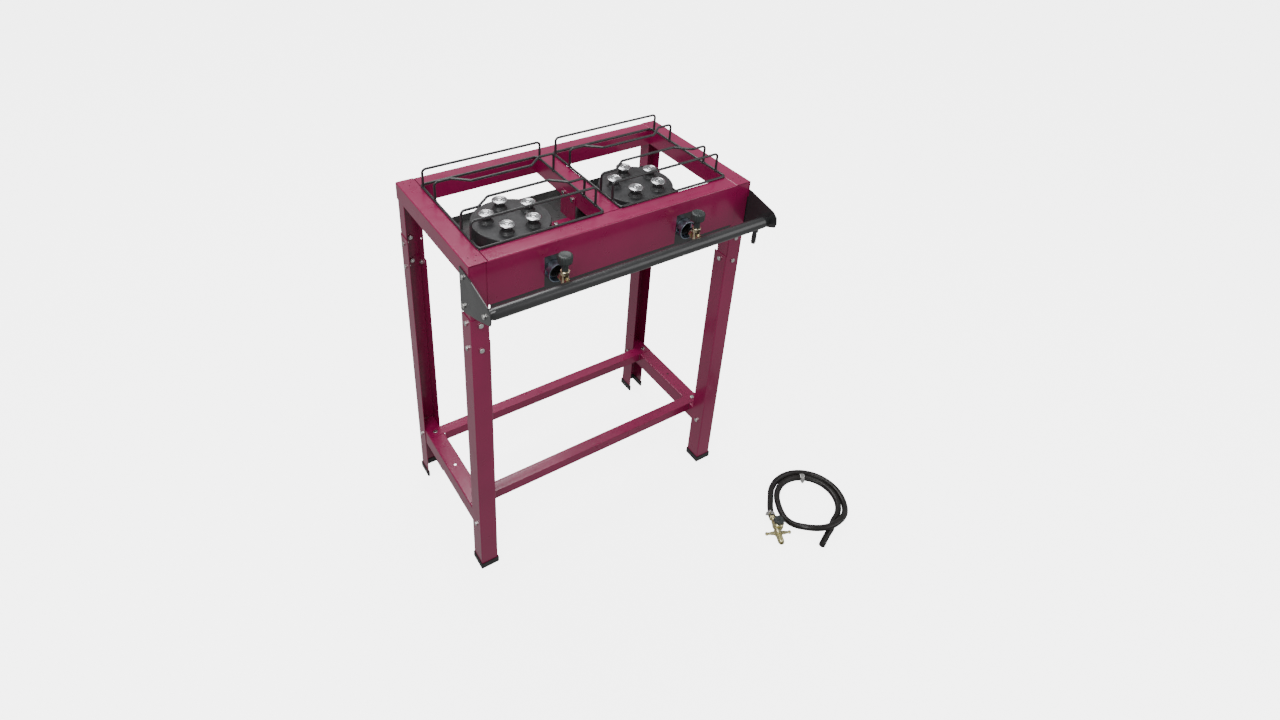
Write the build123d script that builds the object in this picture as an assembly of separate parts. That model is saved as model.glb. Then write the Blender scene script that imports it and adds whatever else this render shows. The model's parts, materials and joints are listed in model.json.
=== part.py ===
from build123d import *
import os
import math

# Two-burner gas stand: folded sheet-steel frame on four channel legs, wire grates,
# five-port burners, front gas manifold with two valves, and a loose hose kit.
# Millimetres, +Z up, +X to the right seen from the front, front = -Y, floor at z = 0.

# ---- driving dimensions: frame ----
OPENING = 305.0                 # burner opening, both ways
RAIL = 45.0                     # width of every top rail and leg channel
WIDTH = 2 * OPENING + 3 * RAIL
DEPTH = OPENING + 2 * RAIL
TOP_Z = 940.0                   # top face of the frame
SHEET = 1.5                     # sheet thickness
BEND_R = 3.2                    # outside radius of the folded edges
RAIL_DROP = 43.0                # down-flange of the top rails
PANEL_DROP = 110.0              # front face of the front panel
NOTCH_W = 46.0
NOTCH_TOP_Z = 906.0
PANEL_EAR = 4.0                 # how far the panel's front face reaches in front of the corner
SHIELD_BOTTOM_Z = 812.0
SHIELD_TOP_Z = 914.0
SHIELD_SIDE_GAP = 1.5
SHIELD_HOLE_R = 23.2            # hole round the air shutter
BURNER_X = (OPENING + RAIL) / 2
HALF_W = WIDTH / 2
HALF_D = DEPTH / 2

# ---- legs ----
POST_BOTTOM_Z = 697.0
POST_FLANGE = 38.0
LEG_TOP_Z = 802.0
LEG_INNER_TOP_Z = 733.0
LEG_BOTTOM_Z = 3.0
TOUCH_GAP = 0.3
BEND_GAP = 1.8                  # a piece nested in a channel stays this far off the bend
FOOT_H = 18.0
FOOT_WALL = 2.0
BOLT_UPPER_Z = 784.0
BOLT_LOWER_Z = 717.0
FLANGE_BOLT_IN = 22.5           # flange bolts, distance in from the front or back face

# ---- lower frame ----
SIDE_TOP_Z = 180.0
SIDE_DROP = 45.0
SIDE_BOLT_Z = 151.0
CROSS_W = 30.0
CROSS_DROP = 27.0
FRONT_CROSS_Y = -119.0
BACK_CROSS_Y = 131.0

# ---- fasteners ----
BOLT_D = 6.0
HOLE_D = 6.6
HEAD_AF = 11.0
HEAD_CHAMFER = 0.8
HEAD_H = 4.0
NUT_H = 5.0
GRIP_END = 2.5                  # shank beyond the nut

# ---- grates ----
WIRE = 6.0
GRATE_SIZE = 306.0
GRATE_RISE = 46.0
ARCH_Y = (-118.0, -70.0, 70.0, 139.0)
JOG = (0.0, 30.0, -30.0, 0.0)
JOG_START = 112.0
JOG_RUN = 36.0
WIRE_BEND = 9.0
FOOT_INSET = 0.7                # arch feet stand this far in from the ring's middle line

# ---- burners ----
DRUM_R = 94.0
DRUM_BOTTOM_Z = 849.0
DRUM_TOP_Z = 888.0
DRUM_WALL = 3.0
LID_T = 5.0
PORTS = 5
PORT_CIRCLE_R = 57.0
PORT_BASE_R = 15.0
PORT_BASE_H = 3.0
PORT_NECK_R = 11.5
PORT_TOP_Z = 902.0
PORT_R = 5.0
LID_EDGE = 2.0
CAP_R = 19.0
CAP_TOP_Z = 912.0
MIXER_Z = 869.0
MIXER_R = 17.0                  # clearance round the tube
TUBE_R = 16.0
MIXER_WALL = 2.0
MIXER_INNER_R = 11.0            # inlet hole in the side of the drum
MIXER_FRONT_Y = -205.0
SHUTTER_R = 22.5
SHUTTER_LEN = 26.0
SHUTTER_Y = -216.0
SHUTTER_WALL = 2.0
SHUTTER_END_WALL = 3.0
SHUTTER_CLEAR = 0.06
WINDOW_FROM = 6.0               # air window, distance from the shutter mouth
WINDOW_LEN = 10.0
WINDOW_HALF_H = 6.0

# ---- support tray and hangers ----
TRAY_T = 1.5
TRAY_FLOOR_Z = 847.5
TRAY_WALL = 20.0
TRAY_HALF_D = 103.0
TRAY_LEFT_X = -325.4
TRAY_RIGHT_X = 271.0
HANGER_T = 2.0
HANGER_Y = (-35.0, 30.0)
HANGER_FOOT = 55.0
HANGER_FOOT_W = 30.0
HANGER_FOOT_BOLT_IN = 12.0      # foot bolt, distance in from the foot end
HANGER_BOLT_Z = TOP_Z - RAIL_DROP + 12.0
HANGER_BOLT_Y = (HANGER_Y[0] + 13.0, HANGER_Y[1] - 13.0)
HANGERS = ((-HALF_W + RAIL, 1), (-RAIL / 2, -1), (RAIL / 2, 1))   # rail face, way the foot points

# ---- manifold, valves, brackets ----
PIPE_R = 14.0
PIPE_WALL = 2.0
PIPE_Y = -272.0
PIPE_Z = 868.0
PIPE_TAPER = 18.0
PIPE_END_R = 9.0
BRACKET_T = 2.5
BRACKET_TIP_Y = -300.0
VALVE_Y = -243.0
VALVE_R = 9.0
VALVE_INLET_R = 6.0
STEM_R = 4.0
INJECTOR_R = 4.5
RUN_CLEAR = 0.05                # radial clearance of turning fits
KNOB_TOP_Z = 933.0
KNOB_BOTTOM_Z = 913.0
KNOB_R = 17.0
KNOB_FLUTES = 12
FLUTE_R = 2.2
KNOB_NECK_R = 7.5
POINTER_HALF_W = 1.0
BARB_X = 335.0
BARB_BOTTOM_Z = 816.0
BARB_R = 5.6
BARB_RIDGE_R = 6.4
BARB_RIDGES = 4
BARB_PITCH = 6.0
BARB_BORE_R = 3.0
COLLAR_R = 8.0

# ---- loose hose kit, lying on the floor beside the stand ----
KIT_X = 503.0
KIT_Y = -480.0
KIT_TURN = -34.0
HOSE_R = 8.5
COIL_OUTER_R = 104.0            # first turn, middle of the hose
COIL_INNER_R = 86.0             # second turn, middle of the hose
HUMP_FROM = -110.0              # stretch where the first turn passes over the end
HUMP_TO = -50.0
HUMP_Z = 25.5
REG_AXIS_Z = 13.0
REG_ANGLE = -81.6               # direction of the regulator from its hose barb
REG_START = (-110.0, -62.0)
REG_LEN = 86.0
REG_CHAMBER = 27.0              # chamber centre, distance along the regulator
REG_KNOB_OFF = 8.0              # chamber centre, distance off the axis towards the coil
REG_NUT = 46.0                  # end of the cast body, where the wing nut starts
REG_SPIGOT_END = 68.0
REG_SPIGOT_R = 6.0
HOSE_IN = [(-110.0, -62.0, 13.0), (-111.5, -44.0, 11.0), (-109.0, -22.0, 8.8)]
HOSE_OUT = [(48.0, -90.0, 8.6), (34.0, -106.0, 8.6), (11.0, -143.0, 8.6)]
CLAMP_W = 12.0
CLAMP_R_IN = 8.8
CLAMP_R_OUT = 9.9
SPARE_CLAMP_Z = 10.0
KIT_KNOB_R = 14.5
KIT_KNOB_Z = 26.0
KIT_KNOB_H = 10.1
KIT_KNOB_LOBES = 8
LOBE_R = 4.0
CHAMBER_R = 15.0
CHAMBER_BOTTOM_Z = 2.0
KIT_KNOB_GAP = 0.1
WING_HUB_R = 10.5
WING_HUB_LEN = 14.0
THREAD_R = 8.0
THREAD_RIDGE_R = 8.8
THREAD_PITCH = 3.5
WING_EYE_R = 4.8                # round end of each wing
WING_T = 4.4
WING_ROOT_W = 5.6
WING_TIP_W = 3.6
KIT_BARB_R = 5.6
WING_SPAN = 73.0

# middle of the stand from the bracket tips to the bolt heads at the back
FOOTPRINT_MID_Y = (BRACKET_TIP_Y + HALF_D + HEAD_H) / 2

Z_UP = (0, 0, 1)
X_UP = (1, 0, 0)
Y_UP = (0, 1, 0)
STANDING = (Align.CENTER, Align.CENTER, Align.MIN)


def box(x0, x1, y0, y1, z0, z1):
    """Box between two corners."""
    return Pos((x0 + x1) / 2, (y0 + y1) / 2, (z0 + z1) / 2) * Box(x1 - x0, y1 - y0, z1 - z0)


def rod(start, direction, radius, length):
    """Cylinder from a start point along a direction."""
    plane = Plane(origin=start, z_dir=direction)
    return plane * Cylinder(radius, length, align=STANDING)


def cone(start, direction, base_r, tip_r, length):
    """Truncated cone from a start point along a direction."""
    plane = Plane(origin=start, z_dir=direction)
    return plane * Cone(base_r, tip_r, length, align=STANDING)


def hexagon(start, direction, across_flats, length):
    """Hexagonal prism from a start point along a direction, its far corners turned off."""
    plane = Plane(origin=start, z_dir=direction)
    prism = extrude(RegularPolygon(across_flats / 2, 6, major_radius=False), length)
    corner_r = across_flats / math.sqrt(3)
    turned = Cylinder(corner_r, length, align=STANDING)
    turned = chamfer(turned.edges().group_by(Axis.Z)[-1], HEAD_CHAMFER, 2 * HEAD_CHAMFER)
    return plane * (prism & turned)


def bolt(head_base, into, grip):
    """Hex bolt whose head sits at head_base and whose shank runs along into, with its nut."""
    base = Vector(*head_base)
    axis = Vector(*into)
    head = hexagon(tuple(base), tuple(axis * -1), HEAD_AF, HEAD_H)
    shank = rod(tuple(base), tuple(axis), BOLT_D / 2, grip + NUT_H + GRIP_END)
    nut = hexagon(tuple(base + axis * grip), tuple(axis), HEAD_AF, NUT_H)
    return head + shank + nut


def hole(center, direction, reach=6.0):
    """Clearance drill centred on a point."""
    start = Vector(*center) - Vector(*direction) * (reach / 2)
    return rod(tuple(start), direction, HOLE_D / 2, reach)


def rounded(block, along, sort, side, radius):
    """Block with its edges along one axis rounded on one side."""
    edges = block.edges().filter_by(along).group_by(sort)[side]
    return fillet(edges, radius)


def channel_x(x0, x1, y0, y1, top, front_drop, back_drop):
    """Folded channel along X: web up, one flange down at y0 and one at y1."""
    deepest = top - max(front_drop, back_drop)
    outside = rounded(box(x0, x1, y0, y1, deepest, top), Axis.X, Axis.Z, -1, BEND_R)
    inside = box(x0 - 1, x1 + 1, y0 + SHEET, y1 - SHEET, deepest - 1, top - SHEET)
    body = outside - rounded(inside, Axis.X, Axis.Z, -1, BEND_R - SHEET)
    if back_drop < front_drop:
        body -= box(x0 - 1, x1 + 1, y1 - 2 * SHEET, y1 + 1, deepest - 1, top - back_drop)
    return body


def channel_y(x0, x1, y0, y1, top, drop):
    """Folded channel along Y: web up, both flanges down."""
    outside = rounded(box(x0, x1, y0, y1, top - drop, top), Axis.Y, Axis.Z, -1, BEND_R)
    inside = box(x0 + SHEET, x1 - SHEET, y0 - 1, y1 + 1, top - drop - 1, top - SHEET)
    return outside - rounded(inside, Axis.Y, Axis.Z, -1, BEND_R - SHEET)


def save(shape, node):
    """Write one node, moved so that the origin is the middle of the stand's footprint."""
    if isinstance(shape, list):
        shape = Compound(children=shape)
    export_step(Pos(0, -FOOTPRINT_MID_Y, 0) * shape, "parts/" + node + ".step")


# ---- shared positions ----
CORNERS = {"front_left": (-1, -1), "front_right": (1, -1), "back_left": (-1, 1), "back_right": (1, 1)}
CORNER_HOLES = ((-9.0, 7.0), (9.0, 7.0), (0.0, -9.0))
CORNER_HOLE_R = 1.6
BRACKET_BOLT_Z = (903.0, 831.0)
CROSS_BOLT_X = HALF_W - RAIL / 2


def leg_holes(side_x, side_y):
    """All clearance holes of one corner: flange, web and lower-rail bolts."""
    flange_y = side_y * (HALF_D - FLANGE_BOLT_IN)
    outer_x = side_x * HALF_W
    inner_x = side_x * (HALF_W - RAIL)
    web_x = side_x * (HALF_W - RAIL / 2)
    cuts = []
    for z in (BOLT_UPPER_Z, BOLT_LOWER_Z):
        cuts.append(hole((outer_x, flange_y, z), X_UP))
        cuts.append(hole((inner_x, flange_y, z), X_UP))
        cuts.append(hole((web_x, side_y * HALF_D, z), Y_UP))
    for z in BRACKET_BOLT_Z:
        if side_y < 0:
            cuts.append(hole((outer_x, flange_y, z), X_UP))
    cuts.append(hole((outer_x, flange_y, SIDE_BOLT_Z), X_UP))
    cuts.append(hole((inner_x, flange_y, SIDE_BOLT_Z), X_UP))
    return cuts


def leg_bolts(side_x, side_y):
    """Bolts joining the post and the leg at one corner."""
    flange_y = side_y * (HALF_D - FLANGE_BOLT_IN)
    web_x = side_x * (HALF_W - RAIL / 2)
    grip = 2 * SHEET
    bolts = []
    for z in (BOLT_UPPER_Z, BOLT_LOWER_Z):
        bolts.append(bolt((side_x * HALF_W, flange_y, z), (-side_x, 0, 0), grip))
        bolts.append(bolt((web_x, side_y * HALF_D, z), (0, -side_y, 0), grip))
    inner = side_x * (HALF_W - RAIL)
    bolts.append(bolt((inner, flange_y, BOLT_LOWER_Z), (side_x, 0, 0), grip))
    return bolts


def mirrored_box(side_x, side_y, x_out, x_in, y_out, y_in, z0, z1):
    """Box given by distances in from the outer corner faces."""
    xa = side_x * (HALF_W - x_out)
    xb = side_x * (HALF_W - x_in)
    ya = side_y * (HALF_D - y_out)
    yb = side_y * (HALF_D - y_in)
    return box(min(xa, xb), max(xa, xb), min(ya, yb), max(ya, yb), z0, z1)


def upright(side_x, side_y, inset, depth, z0, z1):
    """Vertical folded channel at one corner, its web towards the front or back."""
    s = SHEET
    web_side = -1 if side_y > 0 else 0
    outside = mirrored_box(side_x, side_y, inset, RAIL - inset, inset, depth, z0, z1)
    outside = rounded(outside, Axis.Z, Axis.Y, web_side, BEND_R - inset)
    inside = mirrored_box(side_x, side_y, inset + s, RAIL - inset - s, inset + s, depth + 1, z0 - 1, z1 + 1)
    inner_r = max(BEND_R - inset - s, 0.2)
    return outside - rounded(inside, Axis.Z, Axis.Y, web_side, inner_r)


def corner_post(side_x, side_y):
    """Short channel under the frame corner that the leg slides over."""
    top = TOP_Z - SHEET - BEND_GAP
    return upright(side_x, side_y, SHEET, POST_FLANGE, POST_BOTTOM_Z, top) - leg_holes(side_x, side_y)


def leg(side_x, side_y):
    """Long channel leg outside the post; the inner flange starts lower."""
    body = upright(side_x, side_y, 0, RAIL, LEG_BOTTOM_Z, LEG_TOP_Z)
    top = LEG_TOP_Z + 1
    cut = mirrored_box(side_x, side_y, RAIL - 2 * SHEET, RAIL + 1, -1, RAIL + 1, LEG_INNER_TOP_Z, top)
    return body - cut - leg_holes(side_x, side_y)


def foot(side_x, side_y):
    """U-shaped shoe that the leg end stands in."""
    w = FOOT_WALL
    t = SHEET + w
    body = mirrored_box(side_x, side_y, -w, RAIL + w, -w, RAIL + w, 0, FOOT_H)
    core = mirrored_box(side_x, side_y, t, RAIL - t, t, RAIL + 2 * w, -1, FOOT_H + 1)
    leg_end = upright(side_x, side_y, 0, RAIL, LEG_BOTTOM_Z, FOOT_H + 1)
    return body - core - leg_end


def front_panel():
    """Deep front panel with two notches for the mixing tubes."""
    x = HALF_W - RAIL
    body = channel_x(-x, x, -HALF_D, -HALF_D + RAIL, TOP_Z, PANEL_DROP, RAIL_DROP)
    for side in (-1, 1):
        xc = side * BURNER_X
        bottom = TOP_Z - PANEL_DROP - 1
        body -= box(xc - NOTCH_W / 2, xc + NOTCH_W / 2, -HALF_D - 1, -HALF_D + RAIL / 2, bottom, NOTCH_TOP_Z)
        x0, x1 = sorted((side * x, side * (x + PANEL_EAR)))
        ear_top = TOP_Z - SHEET - TOUCH_GAP
        body += box(x0, x1, -HALF_D, -HALF_D + SHEET, TOP_Z - PANEL_DROP, ear_top)
    return body


def heat_shield():
    """Flat black plate on the back of the front panel, behind both notches."""
    x = HALF_W - RAIL - SHIELD_SIDE_GAP
    y = -HALF_D + SHEET
    plate = box(-x, x, y, y + SHEET, SHIELD_BOTTOM_Z, SHIELD_TOP_Z)
    for side in (-1, 1):
        plate -= rod((side * BURNER_X, y - 1, MIXER_Z), Y_UP, SHIELD_HOLE_R, SHEET + 2)
    return plate


def back_rail():
    """Back rail between the side rails."""
    x = HALF_W - RAIL
    return channel_x(-x, x, HALF_D - RAIL, HALF_D, TOP_Z, RAIL_DROP, RAIL_DROP)


def side_rail(side):
    """Full-depth side rail; its top covers both corners, its inner flange fills the opening."""
    x_out = side * HALF_W
    x_in = side * (HALF_W - RAIL)
    x0, x1 = min(x_out, x_in), max(x_out, x_in)
    body = channel_y(x0, x1, -HALF_D, HALF_D, TOP_Z, RAIL_DROP)
    for side_y in (-1, 1):
        body -= mirrored_box(side, side_y, RAIL - 2 * SHEET, RAIL + 1, -1, RAIL, 0, TOP_Z - SHEET)
        for dx, dy in CORNER_HOLES:
            xc = side * (HALF_W - RAIL / 2) + dx
            yc = side_y * (HALF_D - RAIL / 2) + dy
            body -= rod((xc, yc, TOP_Z - 2 * SHEET), Z_UP, CORNER_HOLE_R, 4 * SHEET)
    flange_y = -HALF_D + FLANGE_BOLT_IN
    body -= hole((x_out, flange_y, BRACKET_BOLT_Z[0]), X_UP)
    if side < 0:
        for y in HANGER_BOLT_Y:
            body -= hole((x_in, y, HANGER_BOLT_Z), X_UP)
    return body


def divider():
    """Middle rail between the two openings."""
    body = channel_y(-RAIL / 2, RAIL / 2, -OPENING / 2, OPENING / 2, TOP_Z, RAIL_DROP)
    for side in (-1, 1):
        for y in HANGER_BOLT_Y:
            body -= hole((side * RAIL / 2, y, HANGER_BOLT_Z), X_UP)
    return body


def lower_side_rail(side):
    """Channel nested between the flanges of the legs on one side."""
    x_out = side * (HALF_W - SHEET)
    x_in = side * (HALF_W - RAIL + SHEET)
    y = HALF_D - SHEET - BEND_GAP
    body = channel_y(min(x_out, x_in), max(x_out, x_in), -y, y, SIDE_TOP_Z, SIDE_DROP)
    for side_y in (-1, 1):
        body -= leg_holes(side, side_y)
    xc = side * (HALF_W - RAIL / 2)
    for y in (FRONT_CROSS_Y, 0.0, BACK_CROSS_Y):
        body -= hole((xc, y, SIDE_TOP_Z), Z_UP)
    return body


def cross_rail(y_mid):
    """Lower rail lying on both side rails, flanges cut back between them."""
    y0 = y_mid - CROSS_W / 2
    y1 = y_mid + CROSS_W / 2
    x_in = HALF_W - RAIL + SHEET
    x_out = HALF_W - 2 * SHEET
    body = channel_x(-x_in + 1, x_in - 1, y0, y1, SIDE_TOP_Z + SHEET, CROSS_DROP, CROSS_DROP)
    body += box(-x_out, x_out, y0, y1, SIDE_TOP_Z, SIDE_TOP_Z + SHEET)
    for side in (-1, 1):
        body -= hole((side * CROSS_BOLT_X, y_mid, SIDE_TOP_Z), Z_UP)
    return body


def lower_bolts():
    """Bolts of the lower frame."""
    bolts = []
    for side_x, side_y in CORNERS.values():
        y = side_y * (HALF_D - FLANGE_BOLT_IN)
        bolts.append(bolt((side_x * HALF_W, y, SIDE_BOLT_Z), (-side_x, 0, 0), 2 * SHEET))
        bolts.append(bolt((side_x * (HALF_W - RAIL), y, SIDE_BOLT_Z), (side_x, 0, 0), 2 * SHEET))
    for side in (-1, 1):
        for y in (FRONT_CROSS_Y, BACK_CROSS_Y):
            bolts.append(bolt((side * CROSS_BOLT_X, y, SIDE_TOP_Z + SHEET), (0, 0, -1), 2 * SHEET))
    return bolts


def bent_wire(points, closed=False):
    """Round wire along a filleted polyline."""
    path = FilletPolyline(*points, radius=WIRE_BEND, close=closed)
    start = Plane(origin=path @ 0, z_dir=path % 0)
    return sweep(start * Circle(WIRE / 2), path=path)


def grate(xc):
    """Wire grate: a rectangular base ring and four raised arches."""
    z = TOP_Z + WIRE / 2 + 0.05
    h = GRATE_SIZE / 2
    corners = [(-h, -h), (h, -h), (h, h), (-h, h)]
    body = bent_wire([(xc + x, y, z) for x, y in corners], closed=True)
    top = z + GRATE_RISE
    a = h - FOOT_INSET
    for y, jog in zip(ARCH_Y, JOG):
        pts = [(-a, y, z), (-a, y, top)]
        if jog:
            b = JOG_START
            c = JOG_START - JOG_RUN
            pts += [(-b, y, top), (-c, y + jog, top), (c, y + jog, top), (b, y, top)]
        pts += [(a, y, top), (a, y, z)]
        body += bent_wire([(xc + px, py, pz) for px, py, pz in pts])
    return body


def drum(xc):
    """Hollow burner bowl with its side inlet."""
    shell = rod((xc, 0, DRUM_BOTTOM_Z), Z_UP, DRUM_R, DRUM_TOP_Z - LID_T - DRUM_BOTTOM_Z)
    cavity_z = DRUM_BOTTOM_Z + DRUM_WALL
    shell -= rod((xc, 0, cavity_z), Z_UP, DRUM_R - DRUM_WALL, DRUM_TOP_Z)
    shell -= rod((xc, -DRUM_R - 2, MIXER_Z), Y_UP, MIXER_INNER_R, 8)
    return shell


def lid(xc):
    """Burner lid with a rounded edge and five raised ports."""
    plate = rod((xc, 0, DRUM_TOP_Z - LID_T), Z_UP, DRUM_R, LID_T)
    plate = fillet(plate.edges().group_by(Axis.Z)[-1], LID_EDGE)
    for x, y in port_centres(xc):
        plate += rod((x, y, DRUM_TOP_Z), Z_UP, PORT_BASE_R, PORT_BASE_H)
        plate += rod((x, y, DRUM_TOP_Z), Z_UP, PORT_NECK_R, PORT_TOP_Z - DRUM_TOP_Z)
        plate -= rod((x, y, DRUM_TOP_Z - LID_T - 1), Z_UP, PORT_R, PORT_TOP_Z - DRUM_TOP_Z + LID_T + 2)
    return plate


def port_centres(xc):
    """Centres of the five ports of one burner."""
    out = []
    for i in range(PORTS):
        a = math.radians(90 + i * 360 / PORTS)
        out.append((xc + PORT_CIRCLE_R * math.cos(a), PORT_CIRCLE_R * math.sin(a)))
    return out


def cap(x, y):
    """Bright mushroom cap: short stem on the port neck, flaring to a thin-edged head."""
    z0 = PORT_TOP_Z
    profile = [(0, z0), (10.5, z0), (11.0, z0 + 2), (CAP_R - 1, CAP_TOP_Z - 4.5),
               (CAP_R, CAP_TOP_Z - 3), (CAP_R - 1, CAP_TOP_Z - 1.2), (8.0, CAP_TOP_Z), (0, CAP_TOP_Z)]
    face = make_face(Polyline(*[(r, 0, z) for r, z in profile], close=True))
    return Pos(x, y, 0) * revolve(face, Axis.Z)


def mixer(xc):
    """Mixing tube from the front of the panel to the drum."""
    back = -math.sqrt(DRUM_R ** 2 - MIXER_R ** 2)
    tube = rod((xc, MIXER_FRONT_Y, MIXER_Z), Y_UP, TUBE_R, back - MIXER_FRONT_Y)
    tube -= rod((xc, MIXER_FRONT_Y - 1, MIXER_Z), Y_UP, TUBE_R - MIXER_WALL, 2 * abs(MIXER_FRONT_Y))
    tube -= rod((xc, 0, MIXER_Z - 2 * TUBE_R), Z_UP, DRUM_R, 4 * TUBE_R)
    return tube


def shutter(xc):
    """Round air shutter on the mouth of the mixing tube, with two air windows."""
    ring = rod((xc, SHUTTER_Y, MIXER_Z), Y_UP, SHUTTER_R, SHUTTER_LEN)
    ring = fillet(ring.edges(), SHUTTER_WALL / 3)
    cavity = SHUTTER_LEN - SHUTTER_END_WALL + 1
    ring -= rod((xc, SHUTTER_Y - 1, MIXER_Z), Y_UP, SHUTTER_R - SHUTTER_WALL, cavity)
    ring -= rod((xc, SHUTTER_Y - 1, MIXER_Z), Y_UP, TUBE_R + SHUTTER_CLEAR, SHUTTER_LEN + 2)
    reach = SHUTTER_R + 1
    y0 = SHUTTER_Y + WINDOW_FROM
    h = WINDOW_HALF_H
    return ring - box(xc - reach, xc + reach, y0, y0 + WINDOW_LEN, MIXER_Z - h, MIXER_Z + h)


def tray():
    """Long black tray under the burners."""
    z0 = TRAY_FLOOR_Z
    z1 = z0 + TRAY_WALL
    d = TRAY_HALF_D
    t = TRAY_T
    body = box(TRAY_LEFT_X, TRAY_RIGHT_X, -d, d, z0, z0 + t)
    body += box(TRAY_LEFT_X, TRAY_RIGHT_X, d - t, d, z0, z1)
    body += box(TRAY_LEFT_X, TRAY_RIGHT_X, -d, -d + t, z0, z1)
    body += box(TRAY_RIGHT_X - t, TRAY_RIGHT_X, -d, d, z0, z1)
    for side in (-1, 1):
        xc = side * BURNER_X
        body -= box(xc - MIXER_R - 1, xc + MIXER_R + 1, -d - 1, -d + 4, z0 + t, z1 + 1)
    for x, y in hanger_foot_bolts():
        body -= hole((x, y, z0), Z_UP)
    return body


def hanger(face_x, into):
    """Bent strap from a rail flange down to the tray floor."""
    t = HANGER_T
    y0, y1 = HANGER_Y
    z0 = TRAY_FLOOR_Z + TRAY_T
    xa, xb = sorted((face_x, face_x + into * t))
    strap = box(xa, xb, y0, y1, z0, HANGER_BOLT_Z + 9)
    reach = HANGER_FOOT
    xc, xd = sorted((face_x, face_x + into * reach))
    strap += box(xc, xd, y0, y0 + HANGER_FOOT_W, z0, z0 + t)
    for y in HANGER_BOLT_Y:
        strap -= hole((face_x, y, HANGER_BOLT_Z), X_UP, 8)
    strap -= hole((face_x + into * (reach - HANGER_FOOT_BOLT_IN), y0 + HANGER_FOOT_W / 2, z0), Z_UP)
    return strap


def hanger_foot_bolts():
    """Centres of the bolts through the hanger feet."""
    reach = HANGER_FOOT - HANGER_FOOT_BOLT_IN
    return [(fx + into * reach, HANGER_Y[0] + HANGER_FOOT_W / 2) for fx, into in HANGERS]


def hanger_bolts():
    """Bolts through the rail flanges and the tray floor."""
    bolts = []
    for fx, into in HANGERS:
        for y in HANGER_BOLT_Y:
            head = (fx + into * HANGER_T, y, HANGER_BOLT_Z)
            bolts.append(bolt(head, (-into, 0, 0), HANGER_T + SHEET))
    for x, y in hanger_foot_bolts():
        top = TRAY_FLOOR_Z + TRAY_T + HANGER_T
        bolts.append(bolt((x, y, top), (0, 0, -1), HANGER_T + TRAY_T))
    return bolts


def bracket(side):
    """Tapered gusset carrying one end of the manifold."""
    x = side * HALF_W
    y_bolt = -HALF_D + FLANGE_BOLT_IN
    outline = [(-157.0, 919.0), (-205.0, 915.0), (-284.0, 898.0), (-297.0, 888.0), (BRACKET_TIP_Y, 872.0),
               (-296.0, 860.0), (-280.0, 853.0), (-232.0, 833.0), (-160.0, 809.0), (-157.0, 811.0)]
    face = make_face(Polyline(*[(x, y, z) for y, z in outline], close=True))
    plate = extrude(face, BRACKET_T, dir=(side, 0, 0))
    for z in BRACKET_BOLT_Z:
        plate -= hole((x, y_bolt, z), X_UP, 8)
    plate -= hole((x, PIPE_Y, PIPE_Z), X_UP, 8)
    return plate


def bracket_bolts():
    """Two leg bolts and one pipe-end bolt per bracket."""
    y_bolt = -HALF_D + FLANGE_BOLT_IN
    bolts = []
    for side in (-1, 1):
        x = side * (HALF_W + BRACKET_T)
        for z in BRACKET_BOLT_Z:
            bolts.append(bolt((x, y_bolt, z), (-side, 0, 0), BRACKET_T + 2 * SHEET))
        head = hexagon((x, PIPE_Y, PIPE_Z), (side, 0, 0), HEAD_AF, HEAD_H)
        bolts.append(head + rod((x, PIPE_Y, PIPE_Z), (-side, 0, 0), BOLT_D / 2, BRACKET_T + 8))
    return bolts


def manifold():
    """Gas pipe across the front with tapered closed ends and valve ports."""
    straight = HALF_W - PIPE_TAPER
    body = rod((-straight, PIPE_Y, PIPE_Z), X_UP, PIPE_R, 2 * straight)
    body -= rod((-straight, PIPE_Y, PIPE_Z), X_UP, PIPE_R - PIPE_WALL, 2 * straight)
    for side in (-1, 1):
        body += cone((side * straight, PIPE_Y, PIPE_Z), (side, 0, 0), PIPE_R, PIPE_END_R, PIPE_TAPER)
        body -= rod((side * (HALF_W + 1), PIPE_Y, PIPE_Z), (-side, 0, 0), BOLT_D / 2 + 0.05, 10)
        body -= rod((side * BURNER_X, PIPE_Y, PIPE_Z), Y_UP, VALVE_INLET_R + 0.02, PIPE_R + 2)
    body -= rod((BARB_X, PIPE_Y, PIPE_Z), (0, 0, -1), BARB_R - 0.6, PIPE_R + 2)
    return body


def barb():
    """Ribbed hose barb pointing down from the pipe."""
    top = PIPE_Z - PIPE_R + PIPE_WALL
    stem_r = BARB_R - 0.62
    body = rod((BARB_X, PIPE_Y, BARB_BOTTOM_Z), Z_UP, stem_r, top - BARB_BOTTOM_Z)
    collar_top = PIPE_Z - math.sqrt(PIPE_R ** 2 - COLLAR_R ** 2)
    collar = rod((BARB_X, PIPE_Y, collar_top - 8), Z_UP, COLLAR_R, 10)
    body += collar - rod((-HALF_W, PIPE_Y, PIPE_Z), X_UP, PIPE_R, WIDTH)
    for i in range(BARB_RIDGES):
        z = BARB_BOTTOM_Z + 2 + i * BARB_PITCH
        body += cone((BARB_X, PIPE_Y, z), Z_UP, stem_r, BARB_RIDGE_R, BARB_PITCH * 0.75)
    return body - rod((BARB_X, PIPE_Y, BARB_BOTTOM_Z - 1), Z_UP, BARB_BORE_R, 60)


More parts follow.
